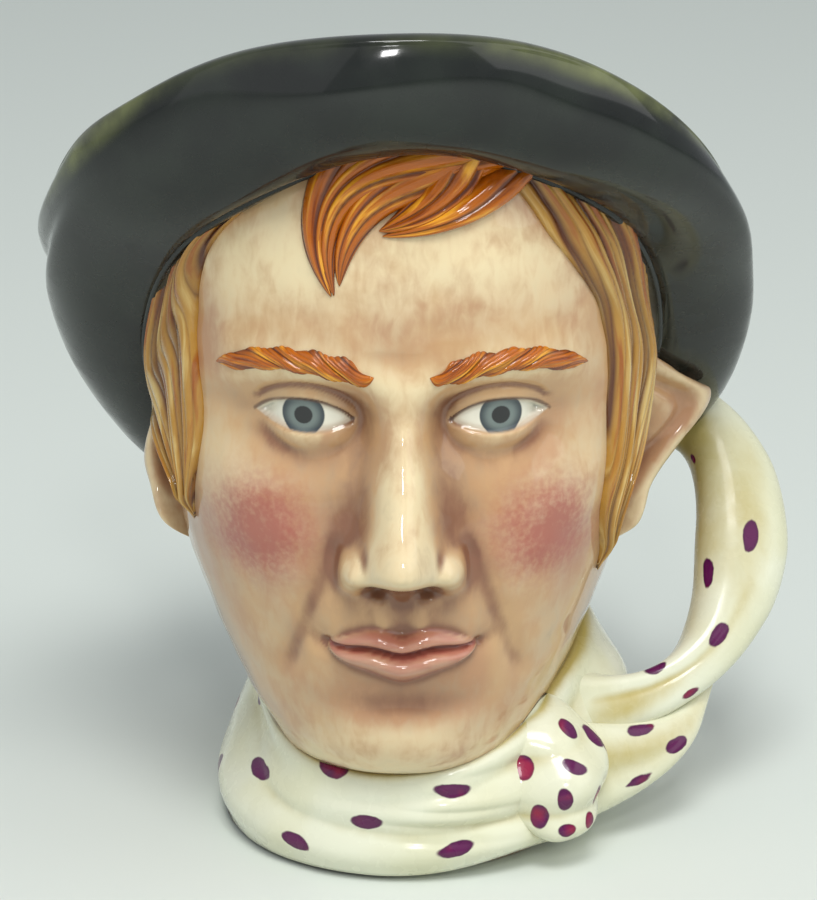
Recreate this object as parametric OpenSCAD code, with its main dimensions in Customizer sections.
// Character jug: a head whose open hat is the mouth and whose knotted neckerchief is the handle.
// Millimetres. The face looks along -Y and the jug stands on Z = 0.
// Angles round the jug start at the face: 90 is the handle's side, 180 the back, -90 the other side.

/* [Head] */
// Half the width of the head at the eyes
head_half_w = 45.5; // [43:0.5:48]
// Half the width of the head under the hat's front edge
crown_half_w = 40; // [37:1:42]
// From the axis to the front of the forehead
forehead_out = 46; // [44:1:48]
// From the axis to the back of the head
skull_out = 50; // [47:1:52]
// Half the width of the jaw at the mouth
jaw_half_w = 37.5; // [35:0.5:40]
// From the axis to the front of the chin
chin_out = 38.5; // [37:0.5:41]
// Height of the underside of the chin
chin_z = 23; // [21:1:25]
// Radius of the neck inside the neckerchief
neck_r = 24; // [22:1:26]
// Thickness of the cast wall
wall = 4.5; // [3:0.5:5.5]
// Squareness of the head seen from above, where 2 is an oval
head_square = 2.2; // [2:0.1:2.5]

/* [Face] */
// How far the tip of the nose stands out
nose_out = 14; // [9:1:17]
// Half the width across the wings of the nose
nose_half_w = 9; // [7:0.5:10]
// Half the distance between the centres of the eyes
eye_half_gap = 17.5; // [15:0.5:20]
// Depth of the eye sockets
socket_in = 5; // [3:0.5:6]
// How far the eyeballs stand out in their sockets
eye_out = 3.4; // [2:0.2:4]
// How far the lips stand out
lip_out = 3.2; // [1.6:0.2:4]
// Length of an eyebrow
brow_len = 24; // [18:1:28]
// Thickness of an eyebrow
brow_t = 1.6; // [1:0.2:2.4]

/* [Ears] */
// Angle from the face to the root of an ear
ear_angle = 88; // [86:1:92]
// Height of the lobe
ear_lo_z = 56; // [52:1:60]
// How far the ear on the handle's side stands out
ear_right_out = 16; // [12:1:17]
// How far the other ear stands out
ear_left_out = 7.5; // [6:0.5:10]
// Thickness of an ear
ear_t = 4; // [3:0.5:5]

/* [Hair] */
// Thickness of the side locks
lock_t = 2.6; // [1.6:0.2:3.2]
// Height of the lower tips of the side locks
lock_lo_z = 62; // [56:1:68]
// Number of strands across a side lock
lock_strands = 4; // [2:1:6]
// Thickness of the forelock
forelock_t = 4.2; // [2.6:0.2:5]
// How far the forelock hangs below the hat's edge
forelock_drop = 25; // [20:1:28]
// Thickness of the hair at the nape
nape_t = 2.2; // [1.4:0.2:3]

/* [Hat] */
// Height of the hat's lower edge over the forehead
hat_front_z = 140; // [136:1:144]
// Height of the hat's lower edge on the handle's side
hat_right_z = 91; // [88:1:94]
// Height of the hat's lower edge on the side away from the handle
hat_left_z = 85; // [82:1:88]
// Height of the hat's lower edge at the back
hat_back_z = 50; // [47:1:54]
// How far the lower edge stands out past the head
hat_lap = 3; // [2:0.5:4]
// Height of the rim at the front
rim_front_z = 161; // [157:1:165]
// Height of the rim on the handle's side
rim_right_z = 108; // [104:1:112]
// Height of the rim at the back
rim_back_z = 115; // [110:1:120]
// Height of the rim on the side away from the handle
rim_left_z = 117; // [112:1:121]
// Half the width of the hat at its widest
hat_half_w = 66; // [63:1:69]
// From the axis to the front of the hat
hat_front_out = 57; // [54:1:60]
// From the axis to the back of the hat
hat_back_out = 59; // [56:1:62]
// Thickness of the hat's wall
hat_wall = 4.5; // [3:0.5:5.5]
// Depth of the waves along the rim
rim_wave = 1.2; // [0:0.2:2]

/* [Neckerchief] */
// Height of the neckerchief under the chin
scarf_front_z = 21; // [19:0.5:22]
// Height of the neckerchief on the handle's side
scarf_right_z = 39; // [36:1:42]
// Height of the neckerchief at the back
scarf_back_z = 42; // [38:1:45]
// Height of the neckerchief on the side away from the handle
scarf_left_z = 30; // [28:1:33]
// Radius of the rolled neckerchief at the front
roll_front_r = 39.5; // [38:0.5:42]
// Radius of the roll on the handle's side
roll_right_r = 40; // [38:0.5:42]
// Radius of the roll at the back
roll_back_r = 37; // [36:0.5:40]
// Radius of the roll on the side away from the handle
roll_left_r = 36; // [35:0.5:38]
// Depth of the folds
fold = 1.1; // [0:0.1:1.6]
// How far the cloth is drawn out towards the handle
scarf_pull = 5; // [3:0.5:6]

/* [Knot] */
// Angle from the face to the knot
knot_angle = 46.5; // [43:0.5:48]
// Height of the middle of the knot
knot_z = 17; // [15:0.5:18]
// Half the width of the knot
knot_half_w = 9.5; // [8:0.5:10.5]
// Half the height of the knot
knot_half_h = 11.5; // [9:0.5:12]
// How far the knot stands out
knot_out = 8; // [6:0.5:10]

/* [Handle] */
// Angle from the face to the handle's upper joint
handle_top_angle = 114; // [112:1:116]
// From the axis to the middle of the handle's upper joint
handle_top_r = 61.5; // [60:0.5:62.5]
// Angle from the face to the handle's lower joint
handle_foot_angle = 71; // [69:1:76]
// Height of the handle's lower joint
handle_foot_z = 23.5; // [22.5:0.5:25]
// From the middle of the jug to the middle of the handle
handle_out = 65; // [63:0.5:67]
// Half the width of the grip
grip_half_w = 9; // [7:0.5:10]
// Half the thickness of the grip
grip_half_t = 7.2; // [6:0.2:8]
// Half the width of the handle at its lower joint
handle_foot_half_w = 4.8; // [4:0.2:5.4]
// Half the width of the second tail
tail_half_w = 8; // [6.5:0.5:8]
// Share of the handle that the second tail runs along
tail_share = 0.34; // [0.28:0.02:0.38]

/* [Foot] */
// Radius of the foot
foot_r = 33; // [31:0.5:34]
// Width of the ring that the jug stands on
foot_ring_w = 5; // [3:0.5:7]
// Height of the foot under the neckerchief
foot_h = 2; // [1.5:0.5:3]
// Depth of the recess inside the ring
foot_recess = 1.2; // [0.6:0.2:1.4]
// Height of the floor inside the jug
floor_z = 6; // [5:0.5:8]

/* [Fit] */
// Gap between pieces, filled by slip before firing
seat = 0.1; // [0.05:0.05:0.2]

/* [Hidden] */

cream = "#e6e2c8";
skin = "#dcc29c";
hat_black = "#2c302b";
ginger = "#9a5518";
ochre = "#a98638";
clay = "#b9a993";

left = -1;
right = 1;

// Heights of the face, in the thirds of a drawing manual: hairline, brow, nose, chin
face_h = hat_front_z - chin_z;
brow_z = chin_z + face_h * 2 / 3;
eye_z = brow_z - face_h / 12;
nose_z = chin_z + face_h / 3;
mouth_z = nose_z - face_h / 9;
cheek_z = nose_z + face_h / 9;

// Columns round the vessel, closer together over the face
cols = 64;
face_crowding = 28;
column_angles = [for (i = [0:cols - 1]) 360 * i / cols - face_crowding * sin(360 * i / cols)];

// Outline of the head from the neck up: height, half width, front, back
head_rows = [
    [foot_h, neck_r, neck_r, neck_r],
    [chin_z * 0.7, neck_r, neck_r * 1.06, neck_r],
    [chin_z, neck_r * 1.06, chin_out, neck_r * 1.08],
    [chin_z + face_h / 13, jaw_half_w * 0.81, chin_out * 1.08, neck_r * 1.29],
    [mouth_z, jaw_half_w, chin_out * 1.13, skull_out * 0.8],
    [nose_z, jaw_half_w * 1.1, forehead_out * 0.97, skull_out * 0.92],
    [eye_z, head_half_w, forehead_out * 0.96, skull_out],
    [brow_z, head_half_w, forehead_out, skull_out],
    [brow_z + face_h / 6, head_half_w * 0.97, forehead_out, skull_out],
    [hat_front_z, crown_half_w, forehead_out * 0.935, skull_out * 0.92]
];
half_w_col = 1;
front_col = 2;
back_col = 3;

function dir(a) = [sin(a), -cos(a), 0];
function clamp(x, lo, hi) = min(max(x, lo), hi);
function mix(a, b, t) = a + (b - a) * t;
function ease(t) = let (c = clamp(t, 0, 1)) c * c * (3 - 2 * c);
function bell(d, s) = exp(-(d / s) * (d / s));
function radius(p) = norm([p.x, p.y]);
function angle(p) = atan2(p.x, -p.y);
// Angle from the face on either side
function off_face(a) = abs((a + 180) % 360 - 180);

// A value that runs smoothly round the jug through four values a quarter turn apart
function around(a, front, right, back, left) =
    (front + right + back + left) / 4 + cos(a) * (front - back) / 2
    + sin(a) * (right - left) / 2 + cos(2 * a) * (front + back - right - left) / 4;

// Smooth curve through one column of the head's outline
function slope(c, i) =
    i == 0 || i == len(head_rows) - 1 ? 0
    : (head_rows[i + 1][c] - head_rows[i - 1][c]) / (head_rows[i + 1][0] - head_rows[i - 1][0]);
function row_below(z, i = 0) =
    i >= len(head_rows) - 2 || z < head_rows[i + 1][0] ? i : row_below(z, i + 1);
function outline(c, z) =
    let (i = row_below(z), z0 = head_rows[i][0], h = head_rows[i + 1][0] - z0)
    let (t = clamp((z - z0) / h, 0, 1), t2 = t * t, t3 = t2 * t)
    head_rows[i][c] * (2 * t3 - 3 * t2 + 1) + slope(c, i) * h * (t3 - 2 * t2 + t)
    + head_rows[i + 1][c] * (3 * t2 - 2 * t3) + slope(c, i + 1) * h * (t3 - t2);

// Radius of the plain head, without a face
function plain_r(a, z) =
    let (w = outline(half_w_col, z), d = outline(cos(a) > 0 ? front_col : back_col, z), p = head_square)
    pow(pow(abs(sin(a)) / w, p) + pow(abs(cos(a)) / d, p), -1 / p);

// Relief of the face at a place seen from the front, in eye widths, five of which span the head
eye_w = head_half_w * 2 / 5;
function nose(x, z) =
    let (t = (z - nose_z) / (brow_z - nose_z), tip = 0.13, under = -0.07)
    let (rise = t > tip ? 1 - ease((t - tip) / (1.02 - tip)) : ease((t - under) / (tip - under)))
    let (w = mix(nose_half_w, nose_half_w * 0.5, ease(t * 1.5)))
    nose_out * rise * exp(-pow(abs(x) / w, 2.4));
function relief(x, z) =
    let (s = abs(x))
    nose(x, z)
    + eye_w * 0.12 * bell(z - brow_z + eye_w * 0.05, eye_w * 0.33) * bell(s - eye_half_gap, eye_w * 0.82)
    - socket_in * bell(s - eye_half_gap + eye_w * 0.05, eye_w * 0.6) * bell(z - eye_z, eye_w * 0.47)
    + eye_out * bell(s - eye_half_gap, eye_w * 0.44) * bell(z - eye_z, eye_w * 0.3)
    + eye_w * 0.11 * bell(s - eye_half_gap - eye_w * 0.55, eye_w * 0.71) * bell(z - cheek_z, eye_w * 0.6)
    + lip_out * bell(x, eye_w * 0.66) * bell(z - mouth_z - eye_w * 0.19, eye_w * 0.16)
    + lip_out * bell(x, eye_w * 0.66) * bell(z - mouth_z + eye_w * 0.22, eye_w * 0.2)
    + eye_w * 0.11 * bell(x, eye_w * 0.93) * bell(z - mouth_z, eye_w * 0.71)
    - eye_w * 0.09 * bell(x, eye_w * 0.66) * bell(z - mouth_z + eye_w * 0.63, eye_w * 0.22)
    + eye_w * 0.18 * bell(x, eye_w * 0.77) * bell(z - chin_z - eye_w * 0.44, eye_w * 0.44);

// Radius of the head with its face
function head_r(a, z) =
    let (r = plain_r(a, z))
    cos(a) > 0 ? r + relief(r * sin(a), z) * ease(cos(a) * 4) : r;
function on_head(a, z, out = seat) = dir(a) * (head_r(a, z) + out) + [0, 0, z];
// Angle round the head of a place on its front
function front_angle(x, z) = asin(clamp(x / outline(front_col, z), -0.95, 0.95));

// The hat's lower edge follows the hair; its wall swells out from there and leans in at the rim
swell_end = 120;
edge_dip = 3;
edge_tuck = 1.2;
ear_dip = 3.2;
ear_dip_angle = 108;
handle_dip = 5;
temple_steep = 1.3;
temple_angle = 66;
rim_dip = 6;
rim_skew = 2.4;
function hat_edge_z(a) =
    around(a, hat_front_z, hat_right_z, hat_back_z, hat_left_z)
    + edge_dip * (cos(a) - cos(3 * a)) + edge_tuck * (cos(5 * a) - cos(a))
    - ear_dip * bell(off_face(a) - ear_dip_angle, 20)
    - handle_dip * bell(a - handle_top_angle, 15);
// How steeply the hat leaves its edge, more where it is pulled down over the temples
function steep(a) = 1 + temple_steep * bell(off_face(a) - temple_angle, 27);
function rim_z(a) =
    around(a, rim_front_z, rim_right_z, rim_back_z, rim_left_z)
    + rim_dip * (cos(a) - cos(3 * a)) + rim_skew * sin(2 * a);
function hat_edge_r(a) = plain_r(a, hat_edge_z(a)) + hat_lap;
function hat_bulge_r(a) =
    let (d = cos(a) > 0 ? hat_front_out : hat_back_out)
    1 / sqrt(pow(sin(a) / hat_half_w, 2) + pow(cos(a) / d, 2)) + rim_wave * cos(5 * a + 40);
function swell_h(a) = (rim_z(a) - hat_edge_z(a)) / (1 - cos(swell_end));
function hat_out(a, t) =
    dir(a) * mix(hat_edge_r(a), hat_bulge_r(a), pow(sin(t), t < 90 ? steep(a) : 1))
    + [0, 0, hat_edge_z(a) + swell_h(a) * (1 - cos(t))];
function hat_in(a, t) =
    let (low = hat_edge_z(a) + hat_wall, h = (rim_z(a) - low) / (1 - cos(swell_end)))
    dir(a) * mix(plain_r(a, hat_edge_z(a)) - wall, hat_bulge_r(a) - hat_wall, sin(t))
    + [0, 0, low + h * (1 - cos(t))];
// Radius of the hat's outside below its widest place, at a height
function hat_out_r(a, z) =
    let (fall = clamp(1 - (z - hat_edge_z(a)) / swell_h(a), 0, 1))
    mix(hat_edge_r(a), hat_bulge_r(a), pow(1 - fall * fall, steep(a) / 2));
// Height of the hat's underside over a place
function hat_under_z(p) =
    let (a = angle(p), share = (radius(p) - hat_edge_r(a)) / (hat_bulge_r(a) - hat_edge_r(a)))
    let (q = pow(clamp(share, 0, 0.98), 1 / steep(a)))
    hat_edge_z(a) + swell_h(a) * (1 - sqrt(1 - q * q));

// The neckerchief is a rolled cloth, with folds that drop towards the knot
scarf_edge = 1.6;
roll_under = 3.4;
pull_angle = handle_foot_angle + 17;
pull_z = handle_foot_z + 3.5;
function scarf_top_z(a) = around(a, scarf_front_z, scarf_right_z, scarf_back_z, scarf_left_z);
function roll_r(a) = around(a, roll_front_r, roll_right_r, roll_back_r, roll_left_r);
function scarf_r(a, z) =
    let (top = scarf_top_z(a), q = clamp((z - foot_h) / (top - foot_h), 0, 1))
    mix(roll_r(a), head_r(a, top) + scarf_edge, q * q)
    - roll_under * pow(max(0, 1 - q / 0.25), 2)
    + scarf_pull * bell(a - pull_angle, 18) * bell(z - pull_z, 9)
    + fold * sin(540 * q + 70 * cos(a - knot_angle)) * sin(180 * q);
function on_scarf(a, z, out = seat) = dir(a) * (scarf_r(a, z) + out) + [0, 0, z];

// A wall that closes on itself: each row is a ring of points, and the last row joins the first
module ring_wall(rows) {
    n = len(rows[0]);
    m = len(rows);
    faces = [for (j = [0:m - 1], i = [0:n - 1])
        let (a = j * n + i, b = ((j + 1) % m) * n + i, c = ((j + 1) % m) * n + (i + 1) % n)
        let (d = j * n + (i + 1) % n)
        each [[a, b, c], [a, c, d]]];
    polyhedron([for (row = rows) each row], faces);
}

// A raised piece between a grid of points on its seat and a grid on its face
module raised(seat_grid, face_grid, side = right) {
    m = len(seat_grid);
    n = len(seat_grid[0]);
    base = m * n;
    sheet = [for (j = [0:m - 2], i = [0:n - 2])
        let (a = j * n + i, b = a + n, c = b + 1, d = a + 1) each [[a, b, c], [a, c, d]]];
    edge = concat(
        [for (i = [0:n - 2]) [i, i + 1]],
        [for (j = [0:m - 2]) [j * n + n - 1, (j + 1) * n + n - 1]],
        [for (i = [n - 1:-1:1]) [(m - 1) * n + i, (m - 1) * n + i - 1]],
        [for (j = [m - 1:-1:1]) [j * n, (j - 1) * n]]);
    faces = concat(
        [for (f = sheet) [f[0] + base, f[1] + base, f[2] + base]],
        [for (f = sheet) [f[0], f[2], f[1]]],
        [for (e = edge) each [[e[0], e[0] + base, e[1] + base], [e[0], e[1] + base, e[1]]]]);
    turned = side == right ? faces : [for (f = faces) [f[0], f[2], f[1]]];
    polyhedron(concat([for (row = seat_grid) each row], [for (row = face_grid) each row]), turned);
}

// A solid bar: rings of points, and a middle point that closes each end
module bar(rings, first_middle, last_middle) {
    n = len(rings[0]);
    m = len(rings);
    faces = concat(
        [for (j = [0:m - 2], i = [0:n - 1])
            let (a = j * n + i, b = a + n, c = (j + 1) * n + (i + 1) % n, d = j * n + (i + 1) % n)
            each [[a, c, b], [a, d, c]]],
        [for (i = [0:n - 1]) [m * n, (i + 1) % n, i]],
        [for (i = [0:n - 1]) [m * n + 1, (m - 1) * n + i, (m - 1) * n + (i + 1) % n]]);
    polyhedron(concat([for (r = rings) each r], [first_middle, last_middle]), faces);
}

// Foot: a flat ring to stand on, a shallow recess and the jug's floor
module foot() {
    plug_r = neck_r - wall - seat;
    color(clay) rotate_extrude($fn = 96) polygon([
        [0, foot_recess], [foot_r - foot_ring_w, foot_recess], [foot_r - foot_ring_w, 0], [foot_r, 0],
        [foot_r, foot_h - seat], [plug_r, foot_h - seat], [plug_r, floor_z], [0, floor_z]]);
}

// Head: the hollow vessel, from the neck up to the hat's lower edge
module head_shell() {
    outer_rows = 40;
    inner_rows = 9;
    level = function(a, t) mix(foot_h, hat_edge_z(a) - seat, t);
    color(skin) ring_wall(concat(
        [for (j = [0:outer_rows]) [for (a = column_angles) on_head(a, level(a, j / outer_rows), 0)]],
        [for (j = [inner_rows:-1:0]) [for (a = column_angles)
            let (z = level(a, j / inner_rows)) dir(a) * (plain_r(a, z) - wall) + [0, 0, z]]]));
}

// Hat: swells out over the head and leans in to a rounded rim
module hat() {
    swell_step = 15;
    inner_step = 20;
    lip = hat_wall * 0.22;
    rim_ring = function(share) [for (a = column_angles)
        mix(hat_out(a, swell_end), hat_in(a, swell_end), share) + [0, 0, lip]];
    color(hat_black) ring_wall(concat(
        [for (t = [0:swell_step:swell_end]) [for (a = column_angles) hat_out(a, t)]],
        [rim_ring(0.25), rim_ring(0.75)],
        [for (t = [swell_end:-inner_step:0]) [for (a = column_angles) hat_in(a, t)]],
        [[for (a = column_angles)
            dir(a) * (plain_r(a, hat_edge_z(a)) - wall) + [0, 0, hat_edge_z(a)]]]));
}

// Neckerchief: a rolled cloth round the neck, resting on the foot
module neckerchief() {
    outer_rows = 9;
    inner_rows = 5;
    level = function(a, t) mix(foot_h, scarf_top_z(a), t);
    color(cream) ring_wall(concat(
        [for (j = [0:outer_rows]) [for (a = column_angles) on_scarf(a, level(a, j / outer_rows), 0)]],
        [for (j = [inner_rows:-1:0]) [for (a = column_angles) on_head(a, level(a, j / inner_rows))]]));
}

// Knot: a round lump on the roll; a square grid is drawn out to a disc
module knot() {
    n = 14;
    half_a = knot_half_w / roll_r(knot_angle) * 180 / PI;
    place = function(u, v, out) on_scarf(
        knot_angle + half_a * u * sqrt(1 - v * v / 2), knot_z + knot_half_h * v * sqrt(1 - u * u / 2), out);
    edge_t = knot_out * 0.07;
    crown = function(u, v)
        let (d = u * u + v * v - u * u * v * v) edge_t + knot_out * pow(max(0, 1 - d), 0.4);
    spread = [for (i = [-n / 2:n / 2]) sin(90 * i / (n / 2))];
    color(cream) raised(
        [for (v = spread) [for (u = spread) place(u, v, seat)]],
        [for (v = spread) [for (u = spread) place(u, v, seat + crown(u, v))]]);
}

// Handle: a cubic curve from the hat's underside to the neckerchief, both ends cut to what they meet
handle_lean = 14;
handle_foot_lean = 11;
upper_drop = 0.12;
lower_rise = 0.06;
grip_at = 0.45;
grip_run = 0.4;
top_slim = 0.72;
handle_top = dir(handle_top_angle) * handle_top_r;
handle_foot = on_scarf(handle_foot_angle, handle_foot_z);
handle_head = handle_top + [0, 0, hat_under_z(handle_top)];
handle_drop = handle_head.z - handle_foot.z;
upper_pull = handle_head + [handle_lean, -handle_lean / 4, -handle_drop * upper_drop];
lower_pull = [(8 * handle_out - handle_head.x - 3 * upper_pull.x - handle_foot.x) / 3,
    handle_foot.y + handle_foot_lean, handle_foot.z + handle_drop * lower_rise];
handle_normal = cross(upper_pull - handle_head, handle_foot - lower_pull);
depth_axis = handle_normal / norm(handle_normal);
function handle_at(t) =
    let (s = 1 - t)
    handle_head * s * s * s + upper_pull * 3 * s * s * t
    + lower_pull * 3 * s * t * t + handle_foot * t * t * t;
function handle_tangent(t) = let (d = handle_at(t + 0.01) - handle_at(t - 0.01)) d / norm(d);
function handle_side(t) = let (c = cross(handle_tangent(t), depth_axis)) c / norm(c);
function handle_half_w(t) =
    t < grip_at ? grip_half_w * mix(top_slim, 1, ease(t / grip_at))
    : mix(grip_half_w, handle_foot_half_w, ease((t - grip_at) / grip_run));
function handle_half_t(t) = grip_half_t * mix(1, handle_half_w(t) / grip_half_w, 0.6);
// From the handle's middle to its surface, in a direction turned from its outer side to its back
function handle_reach(t, b) = 1 / norm([cos(b) / handle_half_w(t), sin(b) / handle_half_t(t)]);
// A ring of an oval bar about a middle point
function oval_ring(middle, side, half_w, half_t, sides) = [for (k = [0:sides - 1])
    let (b = 360 * k / sides) middle + side * half_w * cos(b) + depth_axis * half_t * sin(b)];
// How far each point of an end ring slides in or out to reach what the bar meets there
function slide_to_hat(ring) = [for (p = ring)
    let (a = angle(p)) dir(a) * (hat_out_r(a, p.z) + seat - radius(p))];
function slide_to_scarf(ring) = [for (p = ring)
    let (a = angle(p)) dir(a) * (scarf_r(a, p.z) + seat - radius(p))];

module handle() {
    sides = 14;
    rings = 34;
    top_run = 0.3;
    foot_run = 0.3;
    ring_at = function(t)
        oval_ring(handle_at(t), handle_side(t), handle_half_w(t), handle_half_t(t), sides);
    inner_ring = [for (p = ring_at(0)) mix(handle_head, p, 0.5)];
    top_slide = slide_to_hat(ring_at(0));
    foot_slide = slide_to_scarf(ring_at(1));
    grip = [for (j = [0:rings])
        let (t = j / rings, ring = ring_at(t))
        let (up = pow(max(0, 1 - t / top_run), 2), down = pow(max(0, 1 - (1 - t) / foot_run), 2))
        [for (k = [0:sides - 1]) ring[k] + top_slide[k] * up + foot_slide[k] * down]];
    color(cream) bar(concat([inner_ring + slide_to_hat(inner_ring)], grip),
        handle_head + dir(handle_top_angle) * seat, handle_foot);
}

// Second tail: the cloth's other end, lying under the handle and slipping behind it
module scarf_tail() {
    sides = 12;
    rings = 18;
    foot_run = 0.5;
    tip = 0.06;
    slip_a = 70;
    flat = 0.8;
    half_w = function(s) tail_half_w * mix(1, tip, s);
    middle_at = function(s)
        let (t = 1 - s * tail_share, b = slip_a * s)
        let (away = handle_side(t) * cos(b) + depth_axis * sin(b))
        handle_at(t) + away * (handle_reach(t, b) + half_w(s) + 2 * seat);
    ring_at = function(s)
        oval_ring(middle_at(s), handle_side(1 - s * tail_share), half_w(s), half_w(s) * flat, sides);
    foot_slide = slide_to_scarf(ring_at(0));
    tail = [for (j = [rings:-1:0])
        let (s = j / rings, ring = ring_at(s), down = pow(max(0, 1 - s / foot_run), 2))
        [for (k = [0:sides - 1]) ring[k] + foot_slide[k] * down]];
    foot_middle = middle_at(0);
    color(cream) bar(tail, middle_at(1), on_scarf(angle(foot_middle), foot_middle.z));
}

// Ear: a curved plate with a rolled edge and a hollow, rooted on the head and tucked under the hat
module ear(side, ear_out) {
    rows = 14;
    steps = 6;
    sweep = 34;
    hat_gap = seat * 4;
    lobe_share = 0.2;
    helix = ear_t * 0.42;
    hollow = ear_t * 0.45;
    half_root = ear_t / 2 / head_half_w * 180 / PI;
    out = dir(side * (ear_angle + sweep));
    forward = dir(side * (ear_angle + sweep - 90));
    reach = function(t) ear_out * mix(lobe_share, 1, sin(90 * pow(t, 0.7)));
    foot_z = function(s) ear_lo_z + ear_t * 0.75 * s * s;
    sheet = function(root_a, lift) [for (j = [0:rows]) [for (i = [0:steps])
        let (t = j / rows, s = i / steps, a = side * root_a)
        let (under = hat_under_z(on_head(a, hat_edge_z(a)) + out * reach(t) * s) - hat_gap)
        let (z = mix(foot_z(s), under, t))
        let (bow = helix * bell(s - 0.86, 0.16) - hollow * bell(s - 0.42, 0.22) * bell(t - 0.6, 0.3))
        on_head(a, z) + out * reach(t) * s + forward * lift * ease(s * 3) * bow]];
    color(skin) raised(sheet(ear_angle + half_root, 0.4), sheet(ear_angle - half_root, 1), side);
}

// Side lock: strands combed from under the hat down past the temple
module side_lock(side) {
    rows = 22;
    steps = 12;
    edge_t = lock_t * 0.2;
    face_a = [65, 24];
    ear_side_a = [71, 84];
    sheet = function(out) [for (j = [0:rows]) [for (i = [0:steps])
        let (t = j / rows, s = i / steps)
        let (near = mix(face_a[0], face_a[1], pow(t, 2.5)))
        let (far = mix(ear_side_a[0], ear_side_a[1], sin(90 * t)))
        let (a = side * mix(near, far, s), z = mix(lock_lo_z, hat_edge_z(a) - seat, t))
        let (strand = 0.78 + 0.22 * cos(360 * lock_strands * (s - 0.5) + 120 * t))
        on_head(a, z, seat + out * (edge_t + (lock_t - edge_t) * sqrt(sin(180 * s)) * strand))]];
    color(ochre) raised(sheet(0), sheet(1), side);
}

// Hair at the nape, between the neckerchief and the hat
module hair_nape() {
    rows = 6;
    steps = 30;
    strands = 9;
    from_a = 104;
    to_a = 256;
    sheet = function(out) [for (j = [0:rows]) [for (i = [0:steps])
        let (t = j / rows, a = mix(from_a, to_a, i / steps))
        let (z = mix(scarf_top_z(a) + 2 * seat, hat_edge_z(a) - seat, t))
        let (strand = 0.8 + 0.2 * cos(360 * strands * i / steps))
        on_head(a, z, seat + out * nape_t * strand * mix(0.6, 1, t))]];
    color(ginger) raised(sheet(0), sheet(1));
}

// Forelock: a lock swept across the forehead to one tip, between two cubic edges
module forelock() {
    rows = 18;
    steps = 10;
    edge_t = forelock_t * 0.12;
    strands = 3;
    far_edge = [[-0.32, 0], [-0.8, -0.3], [-0.76, -0.75], [-0.48, -1]] * forelock_drop;
    near_edge = [[0.84, 0], [0.32, -0.44], [-0.28, -0.38], [-0.44, -1]] * forelock_drop;
    cubic = function(p, t) p[0] * pow(1 - t, 3) + p[1] * 3 * pow(1 - t, 2) * t + p[2] * 3 * (1 - t) * t * t
        + p[3] * t * t * t;
    sheet = function(out) [for (j = [rows:-1:0]) [for (i = [0:steps])
        let (t = j / rows, s = i / steps, p = mix(cubic(far_edge, t), cubic(near_edge, t), s))
        let (a = front_angle(p.x, hat_front_z), z = min(hat_front_z + p.y, hat_edge_z(a) - seat))
        let (strand = 0.8 + 0.2 * cos(360 * strands * (s - 0.5)))
        let (full = sqrt(sin(180 * s)) * mix(1, 0.55, t) * strand)
        on_head(a, z, seat + out * (edge_t + (forelock_t - edge_t) * full))]];
    color(ginger) raised(sheet(0), sheet(1));
}

// Eyebrow: a low arched ridge over the eye
module eyebrow(side) {
    rows = 4;
    steps = 14;
    edge_t = brow_t * 0.2;
    arch = brow_len * 0.11;
    outer_drop = brow_len * 0.06;
    inner_half_h = brow_len * 0.11;
    outer_half_h = brow_len * 0.045;
    sheet = function(out) [for (j = [0:rows]) [for (i = [0:steps])
        let (s = i / steps, v = 2 * j / rows - 1, x = eye_half_gap + brow_len * (s - 0.46))
        let (half_h = mix(inner_half_h, outer_half_h, s))
        let (z = brow_z + arch * sin(180 * pow(s, 1.3)) - outer_drop * s + v * half_h)
        on_head(side * front_angle(x, z), z, seat + out * (edge_t + brow_t * (1 - v * v)))]];
    color(ginger) raised(sheet(0), sheet(1), side);
}

module ear_left() { ear(left, ear_left_out); }
module ear_right() { ear(right, ear_right_out); }
module hair_left() { side_lock(left); }
module hair_right() { side_lock(right); }
module eyebrow_left() { eyebrow(left); }
module eyebrow_right() { eyebrow(right); }

foot();
head_shell();
hat();
neckerchief();
knot();
handle();
scarf_tail();
ear_left();
ear_right();
hair_left();
hair_right();
hair_nape();
forelock();
eyebrow_left();
eyebrow_right();
